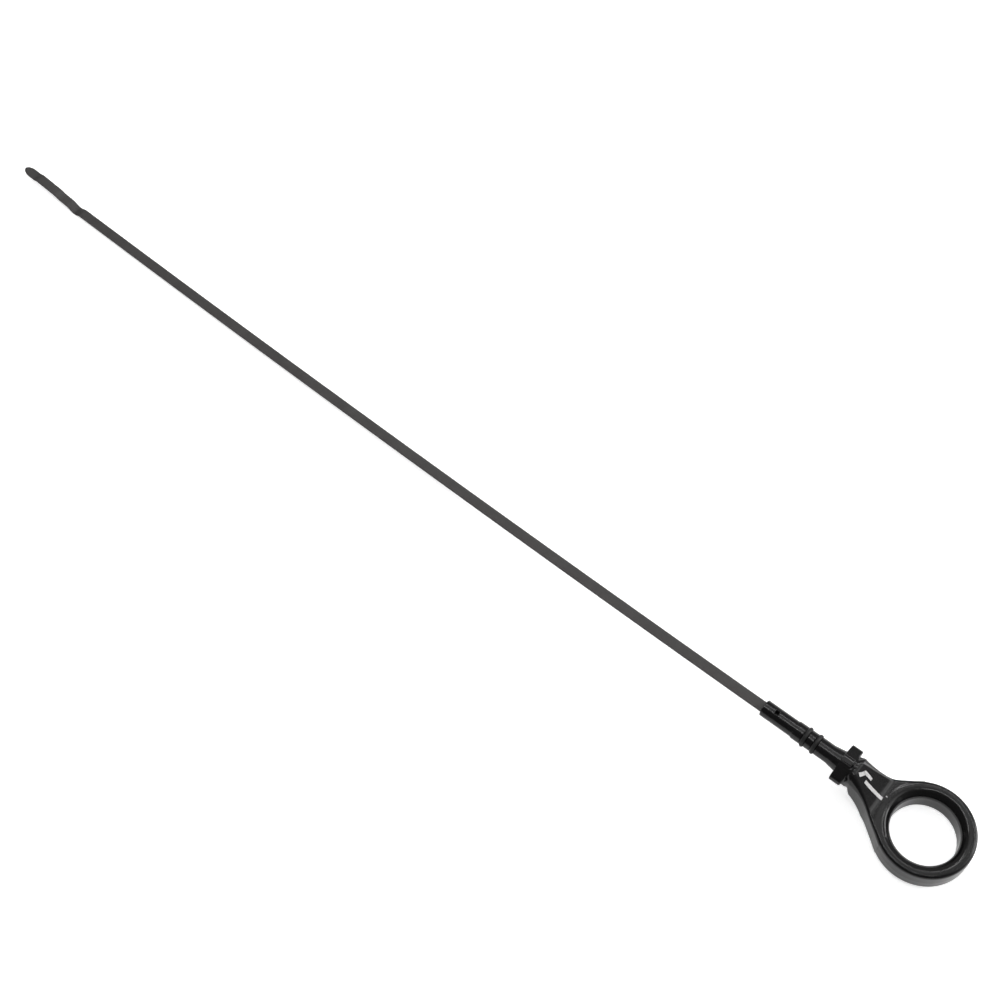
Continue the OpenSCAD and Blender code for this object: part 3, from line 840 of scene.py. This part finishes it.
# %% White ink
white, tree, shader, place = new_finish("white_print", 0.5)
thin = group(tree, mottle, Place=place, Scale=1400.0, Low=0.0, High=1.0)
tree.links.new(tinted(tree, thin, (0.84, 0.83, 0.82, 1), (0.94, 0.93, 0.92, 1)), shader.inputs["Base Color"])
rough = group(tree, mottle, Place=place, Scale=900.0, Low=0.4, High=0.6)
tree.links.new(rough, shader.inputs["Roughness"])
print("finish:", white.name)

# %% [markdown]
# ## Hand the pieces to the frame
#
# Each piece rides on the one body and takes its finish, and the imported node that it stands for is hidden.

# %% Ride, take a finish and hide the replaced node
PIECES = [
    (handle, plastic, "black_plastic", "handle"),
    (seals[0], rubber, "nitrile_rubber", "o_ring_lower"),
    (seals[1], rubber, "nitrile_rubber", "o_ring_upper"),
    (strip, steel, "blackened_steel", "blade"),
    (ink, white, "white_print", None),
]
for piece, finish, slot_name, node in PIECES:
    piece.data.materials.append(finish)
    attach(piece, "root")
    if node:
        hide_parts(node)
print("pieces:", [piece.name for piece, *_ in PIECES])

# %% [markdown]
# ## Table, light and camera
#
# The table is a plain white sheet. It glows for the camera, so that it shows as white, glows about half
# as much in reflections, and still takes the stick's shadow. A glossy black part shows little but what it
# reflects, so the lamps matter more for their shape than for their strength. Two long narrow ones draw
# the twin lines along the shank, two broad ones light the hollow of the neck and its rim, one lights the
# slope that holds the print, a low card stands beyond the ring, and two soft ones hang overhead.

# %% The table
# A hair under the stick, so that the two don't share a surface
FLOOR_GAP, TABLE_HALF = 0.00002, 4.0
FLOOR_Z = cad_box[0][2] - FLOOR_GAP
# How much the table glows in reflections, and how much for the camera and through glass
MIRROR_GLOW, SEEN_GLOW = 0.36, 0.75
table_mesh = bpy.data.meshes.new("table")
sheet = [(x * TABLE_HALF, y * TABLE_HALF, FLOOR_Z) for x, y in ((-1, -1), (1, -1), (1, 1), (-1, 1))]
table_mesh.from_pydata(sheet, [], [(0, 1, 2, 3)])
table = bpy.data.objects.new("table", table_mesh)
bpy.context.scene.collection.objects.link(table)
paper, tree, shader, place = new_finish("paper", 0.9, Specular_IOR_Level=0.0)
shader.inputs["Base Color"].default_value = (0.9, 0.9, 0.9, 1)
light_path = wire(tree, "ShaderNodeLightPath")
mirrored = maths(tree, "MULTIPLY", light_path.outputs["Is Glossy Ray"], MIRROR_GLOW)
seen = maths(tree, "ADD", light_path.outputs["Is Camera Ray"], light_path.outputs["Is Transmission Ray"])
share = maths(tree, "MULTIPLY_ADD", seen, SEEN_GLOW, mirrored)
glow = wire(tree, "ShaderNodeEmission", {"Color": (1, 1, 1, 1), "Strength": share})
total = wire(tree, "ShaderNodeAddShader", {0: shader.outputs[0], 1: glow.outputs[0]})
tree.links.new(total.outputs[0], tree.nodes["Material Output"].inputs["Surface"])
table_mesh.materials.append(paper)
print("table at", round(FLOOR_Z * 1000, 2), "mm")

# %% The world, brighter on the side that faces the camera
world = bpy.data.worlds.new("studio")
bpy.context.scene.world = world
world.use_nodes = True
toward = wire(world.node_tree, "ShaderNodeTexCoord").outputs["Generated"]
apart = wire(world.node_tree, "ShaderNodeSeparateXYZ", {"Vector": toward})
wall = wire(world.node_tree, "ShaderNodeMapRange", {
    "Value": apart.outputs["Y"], "From Min": -0.5, "From Max": 0.3, "To Min": 0.1, "To Max": 0.28,
})
background = world.node_tree.nodes["Background"]
background.inputs["Color"].default_value = (1, 1, 1, 1)
world.node_tree.links.new(wall.outputs["Result"], background.inputs["Strength"])
print("world:", world.name)


# %% The lamps
def lamp(name, place, target, size, power):
    """An area lamp of the given width and depth in metres and power in watts, turned to its target.
    Its width lies square to the Y axis and to the line to the target, and its depth square to both."""
    data = bpy.data.lights.new(name, "AREA")
    data.shape = "RECTANGLE"
    data.size, data.size_y = size
    data.energy = power
    light = bpy.data.objects.new(name, data)
    light.location = place
    toward = np.array(target, float) - np.array(place, float)
    back = -toward / np.linalg.norm(toward)
    right = np.cross([0.0, 1.0, 0.0], back)
    right /= np.linalg.norm(right)
    up = np.cross(back, right)
    light.rotation_euler = Matrix(np.stack([right, up, back], -1).tolist()).to_euler()
    bpy.context.scene.collection.objects.link(light)


LAMPS = [
    ("strip_near", (-0.4, -0.18, 1.2), (-0.4, 0, 0), (1.8, 0.04), 2.8),
    ("strip_far", (-0.4, 0.66, 1.1), (-0.4, 0, 0), (1.8, 0.04), 2.8),
    ("soft_shank", (-0.75, 0.25, 1.3), (-0.75, 0.25, 0), (1.2, 0.8), 1.1),
    ("hollow_lamp", (1.0, 0.62, 0.85), (0, 0, 0), (0.6, 0.5), 1.0),
    ("hollow_rim", (1.25, 0.62, 1.85), (0, 0, 0), (0.9, 0.9), 2.0),
    ("print_lamp", (1.0, 1.15, 0.62), (0, 0, 0), (0.8, 0.9), 8),
    ("low_card", (1.6, 0.6, 0.15), (0, 0, 0.01), (0.26, 1.2), 0.6),
    ("soft_top", (-0.2, 0.6, 2.4), (-0.2, 0.3, 0), (2.6, 2.4), 5.5),
]
for name, place, target, size, power in LAMPS:
    lamp(name, place, target, size, power)
print("lamps:", [name for name, *_ in LAMPS])

# %% The camera, in metres, degrees and millimetres of lens and sensor
CAMERA_PLACE = (-0.01967, -0.24128, 0.58459)
CAMERA_TURN = (28.903, -0.226, 40.083)
LENS, SENSOR = 54.032, 36.0
camera_data = bpy.data.cameras.new("camera")
camera_data.lens = LENS
camera_data.sensor_width = SENSOR
camera = bpy.data.objects.new("camera", camera_data)
bpy.context.scene.collection.objects.link(camera)
bpy.context.scene.camera = camera
camera.location = CAMERA_PLACE
camera.rotation_euler = [math.radians(v) for v in CAMERA_TURN]
bpy.context.scene.view_settings.view_transform = "Standard"
print("camera at", CAMERA_PLACE)
